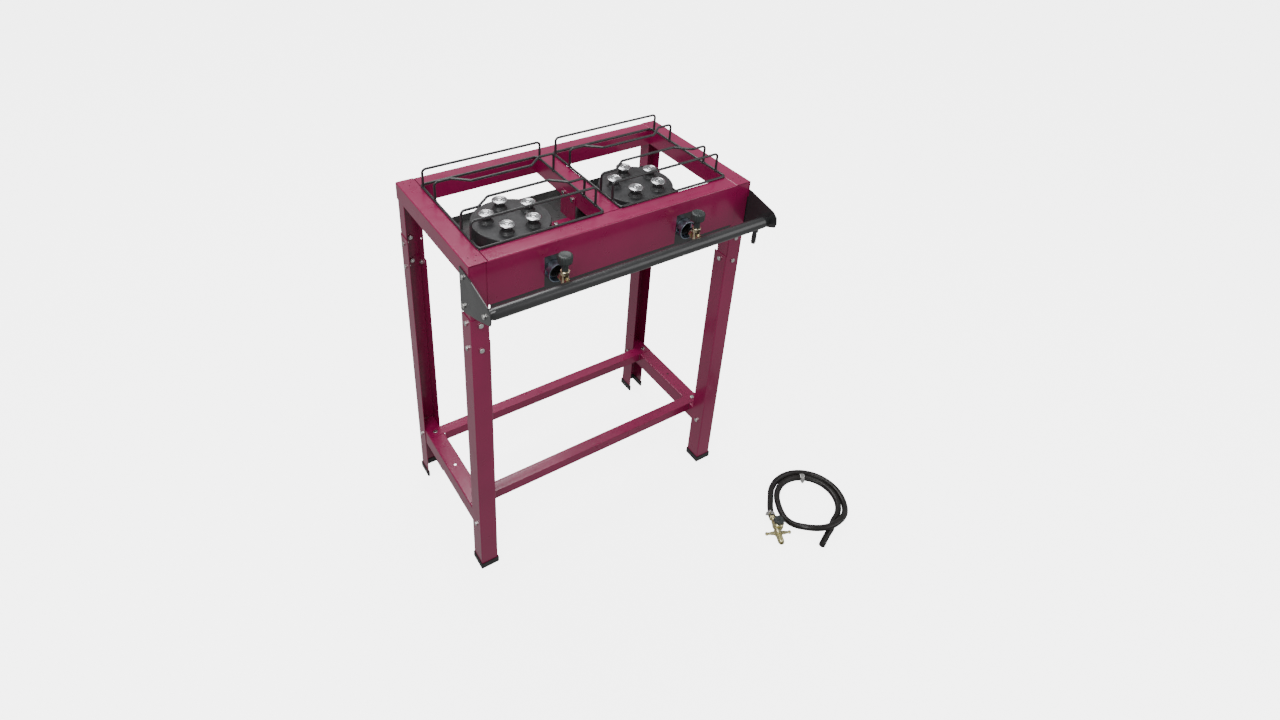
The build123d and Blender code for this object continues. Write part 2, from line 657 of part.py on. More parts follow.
def valve_body(xc):
    """Brass valve: threaded inlet, upright body, hexagon outlet."""
    body = rod((xc, VALVE_Y, MIXER_Z - 13), Z_UP, VALVE_R, 36)
    body += rod((xc, VALVE_Y, MIXER_Z + 20), Z_UP, VALVE_R + 1.5, 4)
    inlet_start = PIPE_Y + PIPE_R - PIPE_WALL
    body += rod((xc, inlet_start, PIPE_Z), Y_UP, VALVE_INLET_R, VALVE_Y - inlet_start)
    body += hexagon((xc, PIPE_Y + PIPE_R + 0.5, PIPE_Z), Y_UP, 16.0, 6.0)
    body += hexagon((xc, VALVE_Y, MIXER_Z), Y_UP, 17.0, 17.0)
    body -= rod((xc, VALVE_Y, MIXER_Z + 10), Z_UP, STEM_R + RUN_CLEAR, 20)
    body -= rod((xc, VALVE_Y + 7, MIXER_Z), Y_UP, INJECTOR_R + 0.02, 20)
    return body


def injector(xc):
    """Dark injector nozzle between the valve and the mixing tube."""
    y0 = VALVE_Y + 7
    body = rod((xc, y0, MIXER_Z), Y_UP, INJECTOR_R, 22)
    body += hexagon((xc, VALVE_Y + 17, MIXER_Z), Y_UP, 11.0, 5.0)
    return body - rod((xc, y0 - 1, MIXER_Z), Y_UP, 1.0, 40)


def valve_knob(xc):
    """Round black knob with grip flutes, on its stem."""
    z0 = KNOB_BOTTOM_Z
    height = KNOB_TOP_Z - z0
    body = Pos(xc, VALVE_Y, z0) * Cone(KNOB_R - 2.5, KNOB_R, height, align=STANDING)
    body = chamfer(body.edges().group_by(Axis.Z)[-1], 1.5)
    r = KNOB_R + FLUTE_R / 2
    for i in range(KNOB_FLUTES):
        a = 2 * math.pi * i / KNOB_FLUTES
        body -= rod((xc + r * math.cos(a), VALVE_Y + r * math.sin(a), z0 - 1), Z_UP, FLUTE_R, height - 3)
    neck_z = MIXER_Z + 24.1
    body += rod((xc, VALVE_Y, neck_z), Z_UP, KNOB_NECK_R, z0 - neck_z)
    body += rod((xc, VALVE_Y, MIXER_Z + 12), Z_UP, STEM_R, 20)
    w = POINTER_HALF_W
    return body + box(xc - w, xc + w, VALVE_Y - KNOB_R + 3, VALVE_Y - 4, KNOB_TOP_Z - 0.6, KNOB_TOP_Z + 0.8)


def kit_place(shape):
    """Move a kit piece from the kit's own layout to its spot on the floor."""
    return Pos(KIT_X, KIT_Y, 0) * Rot(0, 0, KIT_TURN) * shape


def route_radii(points):
    """Largest tangent arcs that the runs of a hose route allow."""
    vectors = [Vector(*p) for p in points]
    radii = []
    for a, b, c in zip(vectors, vectors[1:], vectors[2:]):
        turn = math.radians((b - a).get_angle(c - b))
        shorter = min((b - a).length, (c - b).length)
        radii.append(0.45 * shorter / math.tan(turn / 2))
    return radii


def hose_tube(points):
    """Plain hose along a route."""
    radii = route_radii(points)
    path = FilletPolyline(*points, radius=radii)
    tube = sweep(Plane(origin=path @ 0, z_dir=path % 0) * Circle(HOSE_R), path=path)
    ratio = tube.volume / (math.pi * HOSE_R ** 2 * path.length)
    print("hose radii", [round(r) for r in radii], "volume ratio", round(ratio, 3))
    return tube


def coil_solid():
    """Outer shape of the loose coil, with the hump over the end that passes under it."""
    r0 = COIL_INNER_R - HOSE_R
    r1 = COIL_OUTER_R + HOSE_R
    section = Plane.XZ * Pos((r0 + r1) / 2, HOSE_R) * RectangleRounded(r1 - r0, 2 * HOSE_R, HOSE_R * 0.8)
    ring = revolve(section, Axis.Z)
    bump = Plane.XZ * Pos(COIL_OUTER_R, HUMP_Z) * Circle(HOSE_R)
    hump = revolve(bump, Axis.Z, revolution_arc=HUMP_TO - HUMP_FROM)
    fill = Plane.XZ * Pos(COIL_OUTER_R, HUMP_Z / 2) * Rectangle(2 * HOSE_R - 1, HUMP_Z)
    hump += revolve(fill, Axis.Z, revolution_arc=HUMP_TO - HUMP_FROM)
    return ring + Rot(0, 0, HUMP_FROM) * hump


def clamp(center, direction, screw_side):
    """Worm-drive band clamp with its screw housing on one side."""
    c = Vector(*center)
    d = Vector(*direction).normalized()
    start = tuple(c - d * (CLAMP_W / 2))
    band = rod(start, tuple(d), CLAMP_R_OUT, CLAMP_W) - rod(start, tuple(d), CLAMP_R_IN, CLAMP_W)
    side = Vector(*screw_side).normalized()
    across = d.cross(side)
    frame = Plane(origin=tuple(c + side * (CLAMP_R_OUT + 2.8)), x_dir=tuple(across), z_dir=tuple(side))
    housing = frame * Box(15, CLAMP_W - 2, 7)
    screw = frame * Pos(0, 0, 0.5) * Rot(0, 90, 0) * Cylinder(2.9, 21)
    body = band + (housing + screw - rod(tuple(c - d * 20), tuple(d), CLAMP_R_OUT - 0.4, 40))
    return body


def reg_direction():
    """Unit vector of the regulator axis, from the barb to the threaded nozzle."""
    a = math.radians(REG_ANGLE)
    return Vector(math.cos(a), math.sin(a), 0)


def reg_point(along, across=0.0, z=REG_AXIS_Z):
    """Point on the regulator by distance along its axis and across it."""
    d = reg_direction()
    return (REG_START[0] + d.X * along - d.Y * across, REG_START[1] + d.Y * along + d.X * across, z)


def regulator_body():
    """Cast regulator: hose barb, hexagon, round chamber and outlet neck."""
    d = tuple(reg_direction())
    body = rod(reg_point(-20), d, KIT_BARB_R, 22)
    body += hexagon(reg_point(1.4), d, 17.0, 6.6)
    body += rod(reg_point(7), d, 8.0, REG_NUT - 7)
    chamber = reg_point(REG_CHAMBER, REG_KNOB_OFF, CHAMBER_BOTTOM_Z)
    drum_body = rod(chamber, Z_UP, CHAMBER_R, KIT_KNOB_Z - KIT_KNOB_GAP - CHAMBER_BOTTOM_Z)
    body += fillet(drum_body.edges(), 1.5)
    body += rod(reg_point(REG_NUT), d, REG_SPIGOT_R, REG_SPIGOT_END - REG_NUT)
    body += rod(reg_point(REG_NUT - 3), d, 9.5, 3.0)
    return body


def kit_knob():
    """Eight-lobed black knob on top of the chamber."""
    x, y, z = reg_point(REG_CHAMBER, REG_KNOB_OFF, KIT_KNOB_Z)
    body = rod((x, y, z), Z_UP, KIT_KNOB_R - 2, KIT_KNOB_H)
    r = KIT_KNOB_R - LOBE_R + 0.5
    for i in range(KIT_KNOB_LOBES):
        a = 2 * math.pi * i / KIT_KNOB_LOBES
        body += rod((x + r * math.cos(a), y + r * math.sin(a), z), Z_UP, LOBE_R, KIT_KNOB_H)
    return body


def wing_nozzle():
    """Butterfly nut with ball-ended wings and a threaded nozzle."""
    d = reg_direction()
    body = rod(reg_point(REG_NUT + 0.2), tuple(d), WING_HUB_R, WING_HUB_LEN)
    thread_from = REG_NUT + WING_HUB_LEN
    body += rod(reg_point(thread_from), tuple(d), THREAD_R, REG_LEN - thread_from)
    for i in range(6):
        body += rod(reg_point(thread_from + 5 + THREAD_PITCH * i), tuple(d), THREAD_RIDGE_R, THREAD_PITCH / 2)
    body -= rod(reg_point(REG_NUT), tuple(d), REG_SPIGOT_R + RUN_CLEAR, REG_SPIGOT_END + 0.2 - REG_NUT)
    body -= rod(reg_point(REG_NUT), tuple(d), REG_SPIGOT_R / 2, REG_LEN)
    middle = REG_NUT + WING_HUB_LEN / 2
    reach = WING_SPAN / 2 - WING_EYE_R
    root = WING_HUB_R - 1.5
    z0 = REG_AXIS_Z - WING_T / 2
    for side in (-1, 1):
        outline = [(middle + w, side * across) for w, across in
                   ((-WING_ROOT_W, root), (WING_ROOT_W, root), (WING_TIP_W, reach), (-WING_TIP_W, reach))]
        face = make_face(Polyline(*[reg_point(along, across, z0) for along, across in outline], close=True))
        body += extrude(face, WING_T, dir=Z_UP)
        body += rod(reg_point(middle, side * reach, z0 - 0.6), Z_UP, WING_EYE_R, WING_T + 1.2)
        body -= rod(reg_point(middle, side * reach, z0 - 2), Z_UP, WING_EYE_R / 3, WING_T + 4)
    return body


def hose_kit():
    """Write the nodes of the loose kit."""
    spare_center = (0.0, COIL_INNER_R, SPARE_CLAMP_Z)
    spare = clamp(spare_center, X_UP, (0, -1, 0.25))
    keep_out = rod((-CLAMP_W, COIL_INNER_R, SPARE_CLAMP_Z), X_UP, CLAMP_R_OUT + 0.3, 2 * CLAMP_W)
    coil = coil_solid()
    band_gap = Pos(0, COIL_INNER_R, SPARE_CLAMP_Z) * Box(CLAMP_W + 2, 4 * HOSE_R, 8 * HOSE_R)
    core = rod((-CLAMP_W, COIL_INNER_R, SPARE_CLAMP_Z), X_UP, CLAMP_R_IN - 0.3, 2 * CLAMP_W)
    coil = coil - (keep_out & band_gap) + (core & band_gap)
    d = tuple(reg_direction())
    tube_in = hose_tube(HOSE_IN) - rod(reg_point(-25), d, KIT_BARB_R, 26) - coil
    tube_out = hose_tube(HOSE_OUT) - coil
    start = Vector(*HOSE_IN[1]) - Vector(*HOSE_IN[0])
    near = clamp(tuple(Vector(*HOSE_IN[0]) + start.normalized() * 6.2), tuple(start), (-1, 0, 0.9))
    save(kit_place(coil), "kit_hose_coil")
    save(kit_place(tube_in), "kit_hose_start")
    save(kit_place(tube_out), "kit_hose_end")
    save(kit_place(near), "kit_clamp")
    save(kit_place(spare), "kit_spare_clamp")
    save(kit_place(regulator_body()), "kit_regulator")
    save(kit_place(kit_knob()), "kit_knob")
    save(kit_place(wing_nozzle()), "kit_wing_nozzle")


def build():
    """Write every node."""
    os.makedirs("parts", exist_ok=True)
    save(front_panel(), "front_panel")
    save(heat_shield(), "heat_shield")
    save(back_rail(), "back_rail")
    save(side_rail(-1), "left_rail")
    save(side_rail(1), "right_rail")
    save(divider(), "center_divider")
    all_leg_bolts = []
    for name, (side_x, side_y) in CORNERS.items():
        save(corner_post(side_x, side_y), "post_" + name)
        save(leg(side_x, side_y), "leg_" + name)
        save(foot(side_x, side_y), "foot_" + name)
        all_leg_bolts += leg_bolts(side_x, side_y)
    save(all_leg_bolts, "leg_bolts")
    save(lower_side_rail(-1), "lower_rail_left")
    save(lower_side_rail(1), "lower_rail_right")
    save(cross_rail(FRONT_CROSS_Y), "lower_rail_front")
    save(cross_rail(BACK_CROSS_Y), "lower_rail_back")
    save(lower_bolts(), "lower_rail_bolts")
    save(tray(), "burner_tray")
    save([hanger(fx, into) for fx, into in HANGERS], "tray_hangers")
    save(hanger_bolts(), "hanger_bolts")
    for side, name in ((-1, "left"), (1, "right")):
        xc = side * BURNER_X
        save(grate(xc), "grate_" + name)
        save(drum(xc), "burner_drum_" + name)
        save(lid(xc), "burner_lid_" + name)
        save([cap(x, y) for x, y in port_centres(xc)], "burner_caps_" + name)
        save(mixer(xc), "mixer_tube_" + name)
        save(shutter(xc), "air_shutter_" + name)
        save(valve_body(xc), "valve_body_" + name)
        save(injector(xc), "injector_" + name)
        save(valve_knob(xc), "valve_knob_" + name)
        save(bracket(side), "manifold_bracket_" + name)
    save(bracket_bolts(), "bracket_bolts")
    save(manifold(), "manifold_pipe")
    save(barb(), "hose_barb")
    hose_kit()


build()
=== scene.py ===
import json
import math
import random
import bpy
import bmesh
from mathutils import Matrix, Vector

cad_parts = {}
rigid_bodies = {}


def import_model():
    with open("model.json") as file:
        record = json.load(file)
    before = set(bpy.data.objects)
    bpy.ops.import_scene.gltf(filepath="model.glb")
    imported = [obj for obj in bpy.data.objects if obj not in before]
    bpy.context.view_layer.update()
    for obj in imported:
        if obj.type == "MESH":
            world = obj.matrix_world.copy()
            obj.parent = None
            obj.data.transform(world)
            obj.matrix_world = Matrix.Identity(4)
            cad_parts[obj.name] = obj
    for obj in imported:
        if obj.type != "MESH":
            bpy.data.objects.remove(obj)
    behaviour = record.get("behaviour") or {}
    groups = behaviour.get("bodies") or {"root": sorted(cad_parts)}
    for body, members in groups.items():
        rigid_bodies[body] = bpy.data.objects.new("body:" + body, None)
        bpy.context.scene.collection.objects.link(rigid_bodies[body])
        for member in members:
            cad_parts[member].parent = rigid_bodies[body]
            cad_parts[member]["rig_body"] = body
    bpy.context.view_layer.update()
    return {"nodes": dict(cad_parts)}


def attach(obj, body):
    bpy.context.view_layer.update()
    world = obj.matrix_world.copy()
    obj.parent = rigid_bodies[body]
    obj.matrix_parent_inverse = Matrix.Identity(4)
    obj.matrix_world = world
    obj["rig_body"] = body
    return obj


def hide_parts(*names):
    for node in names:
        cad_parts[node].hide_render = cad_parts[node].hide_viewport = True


# Looks for the two-burner gas stand: paint, burners, valves and the loose hose kit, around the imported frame.
# Metres, +Z up, +X right, front = -Y.

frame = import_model()
random.seed(7)

MM = 0.001
FLOOR_SIZE = 40.0
FRONT_Y = 0.04925               # from the stand's own layout to the frame's origin
HOSE_RIBS = 14.0                # ribs round the hose
HOSE_BRAIDS = 420.0             # braid rows along the hose
WAVE_PERIOD = math.pi           # a wave texture at scale 1 repeats this often per unit


def mm(x, y, z):
    """Point given in the stand's own layout, in millimetres, as metres in the frame."""
    return Vector((x * MM, y * MM + FRONT_Y, z * MM))


# ---- camera ----
CAMERA_PLACE = (-0.9096, -1.3893, 1.8753)
CAMERA_BACK = (-0.4794, -0.7100, 0.5157)        # from the stand towards the camera
CAMERA_LEVEL = (0.8288, -0.5596, 0.0)
CAMERA_ROLL = math.radians(2.74)
CAMERA_LENS = 23.06
CAMERA_SHIFT = (0.0339, -0.1135)


def add_camera():
    """Camera high at the front left, looking down at the stand."""
    back = Vector(CAMERA_BACK).normalized()
    level = Vector(CAMERA_LEVEL).normalized()
    up = back.cross(level)
    right = math.cos(CAMERA_ROLL) * level + math.sin(CAMERA_ROLL) * up
    top = back.cross(right)
    turn = Matrix((right, top, back)).transposed().to_4x4()
    data = bpy.data.cameras.new("camera")
    data.lens = CAMERA_LENS
    data.sensor_width = 36.0
    data.shift_x, data.shift_y = CAMERA_SHIFT
    camera = bpy.data.objects.new("camera", data)
    camera.matrix_world = Matrix.Translation(CAMERA_PLACE) @ turn
    bpy.context.scene.collection.objects.link(camera)
    bpy.context.scene.camera = camera


add_camera()

# ---- loose hose kit: places and route ----
KIT_X = 503.0
KIT_Y = -480.0
KIT_TURN = math.radians(-34.0)
HOSE_R = 8.5
COIL_OUTER_R = 104.0
COIL_INNER_R = 86.0
LIE_Z = 8.6
HOSE_IN = [(-110.0, -62.0, 13.0), (-111.5, -44.0, 11.0), (-109.0, -22.0, 8.8)]
HOSE_OUT = [(48.0, -90.0, 8.6), (34.0, -106.0, 8.6), (11.0, -143.0, 8.6)]
COIL_FROM = 178.0               # degrees, where the hose meets the coil
COIL_TO = -414.0
COIL_STEP = 15.0
INWARD_FROM = -115.0            # the turn moves from the outer to the inner radius here
INWARD_TO = -175.0
HUMP_FROM = -48.0               # the outer turn lies on the outgoing end here
HUMP_TO = -96.0
HUMP_RAMP = 46.0
HUMP_Z = 26.2
REG_AXIS_Z = 13.0
REG_ANGLE = math.radians(-81.6)
CHAMBER_ALONG = 27.0
CHAMBER_ACROSS = 8.0


def kit(u, v, z):
    x = KIT_X + u * math.cos(KIT_TURN) - v * math.sin(KIT_TURN)
    y = KIT_Y + u * math.sin(KIT_TURN) + v * math.cos(KIT_TURN)
    return mm(x, y, z)


def smooth(t):
    """Eased 0 to 1."""
    t = min(max(t, 0.0), 1.0)
    return t * t * (3 - 2 * t)


def coil_point(angle):
    """One control point of the coil's turns."""
    inward = smooth((INWARD_FROM - angle) / (INWARD_FROM - INWARD_TO))
    radius = COIL_OUTER_R + (COIL_INNER_R - COIL_OUTER_R) * inward
    rise = smooth((HUMP_FROM + HUMP_RAMP - angle) / HUMP_RAMP)
    fall = smooth((angle - HUMP_TO + HUMP_RAMP) / HUMP_RAMP)
    z = LIE_Z + (HUMP_Z - LIE_Z) * min(rise, fall)
    a = math.radians(angle)
    return (radius * math.cos(a), radius * math.sin(a), z)


def hose_route():
    """Control points of the hose, from the regulator round the coil to its open end."""
    steps = int((COIL_FROM - COIL_TO) / COIL_STEP)
    turns = [coil_point(COIL_FROM - i * COIL_STEP) for i in range(steps + 1)]
    return [kit(*p) for p in HOSE_IN + turns + HOSE_OUT]


def new_curve(name, points, radius, resolution=12):
    """Open NURBS tube through a control polygon."""
    curve = bpy.data.curves.new(name, "CURVE")
    curve.dimensions = "3D"
    curve.bevel_depth = 1.0
    curve.bevel_resolution = 8
    curve.use_fill_caps = True
    spline = curve.splines.new("NURBS")
    spline.points.add(len(points) - 1)
    for slot_point, p in zip(spline.points, points):
        slot_point.co = (p[0], p[1], p[2], 1.0)
        slot_point.radius = radius
    spline.order_u = 3
    spline.use_endpoint_u = True
    spline.resolution_u = resolution
    obj = bpy.data.objects.new(name, curve)
    bpy.context.scene.collection.objects.link(obj)
    return obj


hose = new_curve("gas_hose", hose_route(), HOSE_R * MM)
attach(hose, "hose_kit")
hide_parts("kit_hose_coil", "kit_hose_start", "kit_hose_end")

# ---- materials ----
NOISE_LOW = 0.3                 # most of a noise texture lies between these
NOISE_HIGH = 0.7


class Shader:
    """A principled material with helpers for its texture nodes."""

    def __init__(self, name, color, roughness, metallic=0.0):
        self.material = bpy.data.materials.new(name)
        self.material.use_nodes = True
        self.tree = self.material.node_tree
        self.out = self.tree.nodes["Principled BSDF"]
        self.out.inputs["Base Color"].default_value = (*color, 1.0)
        self.out.inputs["Roughness"].default_value = roughness
        self.out.inputs["Metallic"].default_value = metallic
        coordinates = self.tree.nodes.new("ShaderNodeTexCoord")
        self.object_co = coordinates.outputs["Object"]
        self.uv_co = coordinates.outputs["UV"]

    def set(self, socket, value):
        self.out.inputs[socket].default_value = value
        return self

    def noise(self, scale, detail=4.0):
        node = self.tree.nodes.new("ShaderNodeTexNoise")
        node.inputs["Scale"].default_value = scale
        node.inputs["Detail"].default_value = detail
        self.tree.links.new(self.object_co, node.inputs["Vector"])
        return node.outputs["Fac"]

    def ranged(self, value, low, high):
        node = self.tree.nodes.new("ShaderNodeMapRange")
        node.inputs["From Min"].default_value = NOISE_LOW
        node.inputs["From Max"].default_value = NOISE_HIGH
        node.inputs["To Min"].default_value = low
        node.inputs["To Max"].default_value = high
        self.tree.links.new(value, node.inputs["Value"])
        return node.outputs["Result"]

    def color(self, value, dark, light):
        node = self.tree.nodes.new("ShaderNodeValToRGB")
        node.color_ramp.elements[0].position = NOISE_LOW
        node.color_ramp.elements[0].color = (*dark, 1.0)
        node.color_ramp.elements[1].position = NOISE_HIGH
        node.color_ramp.elements[1].color = (*light, 1.0)
        self.tree.links.new(value, node.inputs["Fac"])
        self.tree.links.new(node.outputs["Color"], self.out.inputs["Base Color"])
        return self

    def rough(self, value, low, high):
        self.tree.links.new(self.ranged(value, low, high), self.out.inputs["Roughness"])
        return self

    def bump(self, *layers):
        """Each layer is a height, its strength and its depth in metres."""
        normal = None
        for height, strength, depth in layers:
            node = self.tree.nodes.new("ShaderNodeBump")
            node.inputs["Strength"].default_value = strength
            node.inputs["Distance"].default_value = depth
            self.tree.links.new(height, node.inputs["Height"])
            if normal is not None:
                self.tree.links.new(normal, node.inputs["Normal"])
            normal = node.outputs["Normal"]
        self.tree.links.new(normal, self.out.inputs["Normal"])
        return self


def paint(name, dark, light, rough_low, rough_high, peel=0.12):
    """Sprayed enamel: cloudy colour, orange peel and a thin gloss coat."""
    s = Shader(name, light, rough_low)
    s.color(s.noise(7.0, 5.0), dark, light)
    s.rough(s.noise(28.0, 3.0), rough_low, rough_high)
    s.bump((s.noise(650.0, 2.0), peel, 0.0004), (s.noise(30.0, 2.0), 0.10, 0.0009))
    return s.set("Coat Weight", 0.45).set("Coat Roughness", 0.12).material


def cast_iron():
    """Sand-cast burner, painted black: grainy and patchy."""
    s = Shader("cast_iron", (0.04, 0.04, 0.042), 0.5)
    s.color(s.noise(35.0, 6.0), (0.022, 0.023, 0.024), (0.052, 0.053, 0.056))
    s.rough(s.noise(60.0, 4.0), 0.34, 0.58)
    return s.bump((s.noise(420.0, 6.0), 0.35, 0.0008), (s.noise(90.0, 3.0), 0.25, 0.0012)).material


def metal(name, dark, light, rough_low, rough_high, grain=400.0, strength=0.08):
    """Plated or turned metal with fine tool marks and uneven gloss."""
    s = Shader(name, light, rough_low, 1.0)
    s.color(s.noise(80.0, 4.0), dark, light)
    s.rough(s.noise(140.0, 4.0), rough_low, rough_high)
    return s.bump((s.noise(grain, 3.0), strength, 0.0003)).material


def plastic(name, dark, light, rough_low, rough_high):
    """Moulded plastic with a fine spark-eroded grain."""
    s = Shader(name, light, rough_low)
    s.color(s.noise(50.0, 3.0), dark, light)
    s.rough(s.noise(90.0, 3.0), rough_low, rough_high)
    return s.bump((s.noise(1500.0, 2.0), 0.12, 0.0003)).material


def hose_rubber():
    """Extruded gas hose: lengthwise ribs over a fine braid."""
    s = Shader("hose_rubber", (0.02, 0.018, 0.018), 0.4)
    s.color(s.noise(60.0, 4.0), (0.007, 0.006, 0.0055), (0.018, 0.015, 0.014))
    s.rough(s.noise(160.0, 4.0), 0.24, 0.40)
    ribs = s.tree.nodes.new("ShaderNodeTexWave")
    ribs.bands_direction = "Y"
    ribs.inputs["Scale"].default_value = HOSE_RIBS / WAVE_PERIOD
    s.tree.links.new(s.uv_co, ribs.inputs["Vector"])
    braid = s.tree.nodes.new("ShaderNodeTexWave")
    braid.bands_direction = "X"
    braid.inputs["Scale"].default_value = HOSE_BRAIDS / WAVE_PERIOD
    s.tree.links.new(s.uv_co, braid.inputs["Vector"])
    return s.bump((ribs.outputs["Fac"], 0.55, 0.0006), (braid.outputs["Fac"], 0.18, 0.0003)).material


CRIMSON = paint("crimson_paint", (0.250, 0.002, 0.062), (0.305, 0.004, 0.078), 0.26, 0.36)
BLACK = paint("black_paint", (0.022, 0.023, 0.024), (0.034, 0.035, 0.037), 0.26, 0.40)
# The black paint, lightened for the burner tray: painted light standing in for the light on the tray's floor
# and left side.
TRAY_BLACK_PAINTED_LIGHT = paint("tray_black_painted_light", (0.060, 0.062, 0.062), (0.095, 0.098, 0.097), 0.22, 0.36)
WIRE_BLACK = paint("wire_black", (0.014, 0.015, 0.016), (0.024, 0.025, 0.027), 0.28, 0.42)
IRON = cast_iron()
BRIGHT = metal("bright_alloy", (0.50, 0.51, 0.53), (0.72, 0.72, 0.73), 0.14, 0.28, 700.0, 0.10)
ZINC = metal("zinc_plate", (0.62, 0.62, 0.60), (0.82, 0.82, 0.80), 0.18, 0.34)
ZINC_CAST = metal("zinc_cast", (0.22, 0.27, 0.34), (0.36, 0.42, 0.50), 0.30, 0.46, 300.0, 0.15)
BRASS = metal("brass", (0.50, 0.43, 0.27), (0.82, 0.75, 0.53), 0.16, 0.32)
STEEL_DARK = metal("dark_steel", (0.06, 0.055, 0.05), (0.14, 0.13, 0.12), 0.28, 0.42)
KIT_BRASS = metal("yellow_zinc", (0.52, 0.47, 0.24), (0.80, 0.75, 0.44), 0.18, 0.36, 260.0, 0.22)
KNOB_BLACK = plastic("knob_black", (0.026, 0.032, 0.032), (0.046, 0.054, 0.053), 0.26, 0.40)
FOOT_BLACK = plastic("foot_black", (0.016, 0.016, 0.017), (0.030, 0.030, 0.031), 0.40, 0.55)
RUBBER = hose_rubber()
hose.data.materials.append(RUBBER)


# ---- mesh helpers ----

def finish_mesh(name, bm, material, body, slot, *nodes, sharp=35.0):
    """Mesh piece with smooth faces and sharp creases, riding on its body."""
    bmesh.ops.remove_doubles(bm, verts=bm.verts, dist=1e-6)
    bmesh.ops.recalc_face_normals(bm, faces=bm.faces)
    mesh = bpy.data.meshes.new(name)
    bm.to_mesh(mesh)
    bm.free()
    mesh.polygons.foreach_set("use_smooth", [True] * len(mesh.polygons))
    mesh.set_sharp_from_angle(angle=math.radians(sharp))
    mesh.materials.append(material)
    obj = bpy.data.objects.new(name, mesh)
    bpy.context.scene.collection.objects.link(obj)
    weighted = obj.modifiers.new("weighted", "WEIGHTED_NORMAL")
    weighted.keep_sharp = True
    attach(obj, body)
    if nodes:
        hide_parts(*nodes)


def axis_frame(axis):
    """Rotation that takes +Z to an axis."""
    return Vector((0, 0, 1)).rotation_difference(Vector(axis)).to_matrix()


def lathe(bm, base, axis, profile, segments=48, lobes=0, lobe_depth=0.0):
    """Turned shape: profile is (radius, height) in millimetres along the axis."""
    turn = axis_frame(axis)
    rings = []
    for r, h in profile:
        ring = []
        for i in range(segments):
            a = 2 * math.pi * i / segments
            rr = r - lobe_depth * (0.5 - 0.5 * math.cos(lobes * a)) if lobes else r
            local = Vector((rr * math.cos(a), rr * math.sin(a), h)) * MM
            ring.append(bm.verts.new(base + turn @ local))
        rings.append(ring)
    for low, high in zip(rings, rings[1:]):
        for i in range(segments):
            j = (i + 1) % segments
            bm.faces.new((low[i], low[j], high[j], high[i]))
    bm.faces.new(list(reversed(rings[0])))
    bm.faces.new(rings[-1])


def nut(bm, base, axis, across_flats, height, chamfer=0.9):
    """Hexagon nut with turned corners."""
    r = across_flats / math.sqrt(3)
    profile = [(r - chamfer, 0), (r, chamfer * 0.6), (r, height - chamfer * 0.6), (r - chamfer, height)]
    lathe(bm, base, axis, profile, segments=6)


def block(bm, center, half, turn=None, round_by=0.4):
    """Box with rounded edges; center in metres, sizes in millimetres."""
    made = bmesh.ops.create_cube(bm, size=2.0)
    verts = made["verts"]
    for v in verts:
        v.co = Vector((v.co.x * half[0], v.co.y * half[1], v.co.z * half[2])) * MM
    edges = list(dict.fromkeys(e for v in verts for e in v.link_edges))
    result = bmesh.ops.bevel(bm, geom=edges, offset=round_by * MM, segments=2, affect="EDGES")
    moved = set(result["verts"]) | {v for v in verts if v.is_valid}
    for v in moved:
        v.co = center + (turn @ v.co if turn else v.co)


def soften(node, material, slot, width):
    """Copy of a CAD node with its hard edges rounded, standing for the node."""
    source = frame["nodes"][node]
    mesh = source.data.copy()
    bm = bmesh.new()
    bm.from_mesh(mesh)
    bmesh.ops.remove_doubles(bm, verts=bm.verts, dist=2e-6)
    bmesh.ops.dissolve_limit(bm, angle_limit=math.radians(0.5), verts=bm.verts, edges=bm.edges)
    crease = math.radians(40.0)
    edges = [e for e in bm.edges if len(e.link_faces) == 2 and e.calc_face_angle(0.0) > crease]
    bmesh.ops.bevel(bm, geom=edges, offset=width * MM, segments=2, affect="EDGES", clamp_overlap=True)
    finish_mesh(node + "_look", bm, material, source["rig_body"], slot, node, sharp=50.0)


# ---- frame sheets ----

def dress_node(node, material):
    """Give a CAD node its material."""
    mesh = frame["nodes"][node].data
    mesh.materials.clear()
    mesh.materials.append(material)


CORNERS = ("front_left", "front_right", "back_left", "back_right")
SHEETS = ["front_panel", "back_rail", "left_rail", "right_rail", "center_divider", "tray_hangers"]
SHEETS += ["lower_rail_left", "lower_rail_right", "lower_rail_front", "lower_rail_back"]
SHEETS += ["leg_" + c for c in CORNERS] + ["post_" + c for c in CORNERS]
for node in SHEETS:
    soften(node, CRIMSON, "crimson_paint", 0.35)
for corner in CORNERS:
    soften("foot_" + corner, FOOT_BLACK, "foot_plastic", 0.8)
for node in ("leg_bolts", "lower_rail_bolts", "hanger_bolts", "bracket_bolts"):
    soften(node, ZINC, "zinc_bolts", 0.3)
# The heat shield is a black plate behind the front panel's notches. Its lower part also fills the dark line
# under the panel's lower edge: painted shadow.
for node in ("heat_shield", "manifold_bracket_left", "manifold_bracket_right"):
    soften(node, BLACK, "black_paint", 0.4)
# Burner tray in the lightened black paint: painted light.
soften("burner_tray", TRAY_BLACK_PAINTED_LIGHT, "black_paint", 0.4)
for side in ("left", "right"):
    dress_node("mixer_tube_" + side, BLACK)
    dress_node("air_shutter_" + side, ZINC_CAST)
    dress_node("injector_" + side, STEEL_DARK)
    dress_node("burner_drum_" + side, IRON)
    dress_node("burner_lid_" + side, IRON)
dress_node("manifold_pipe", BLACK)
dress_node("hose_barb", BLACK)


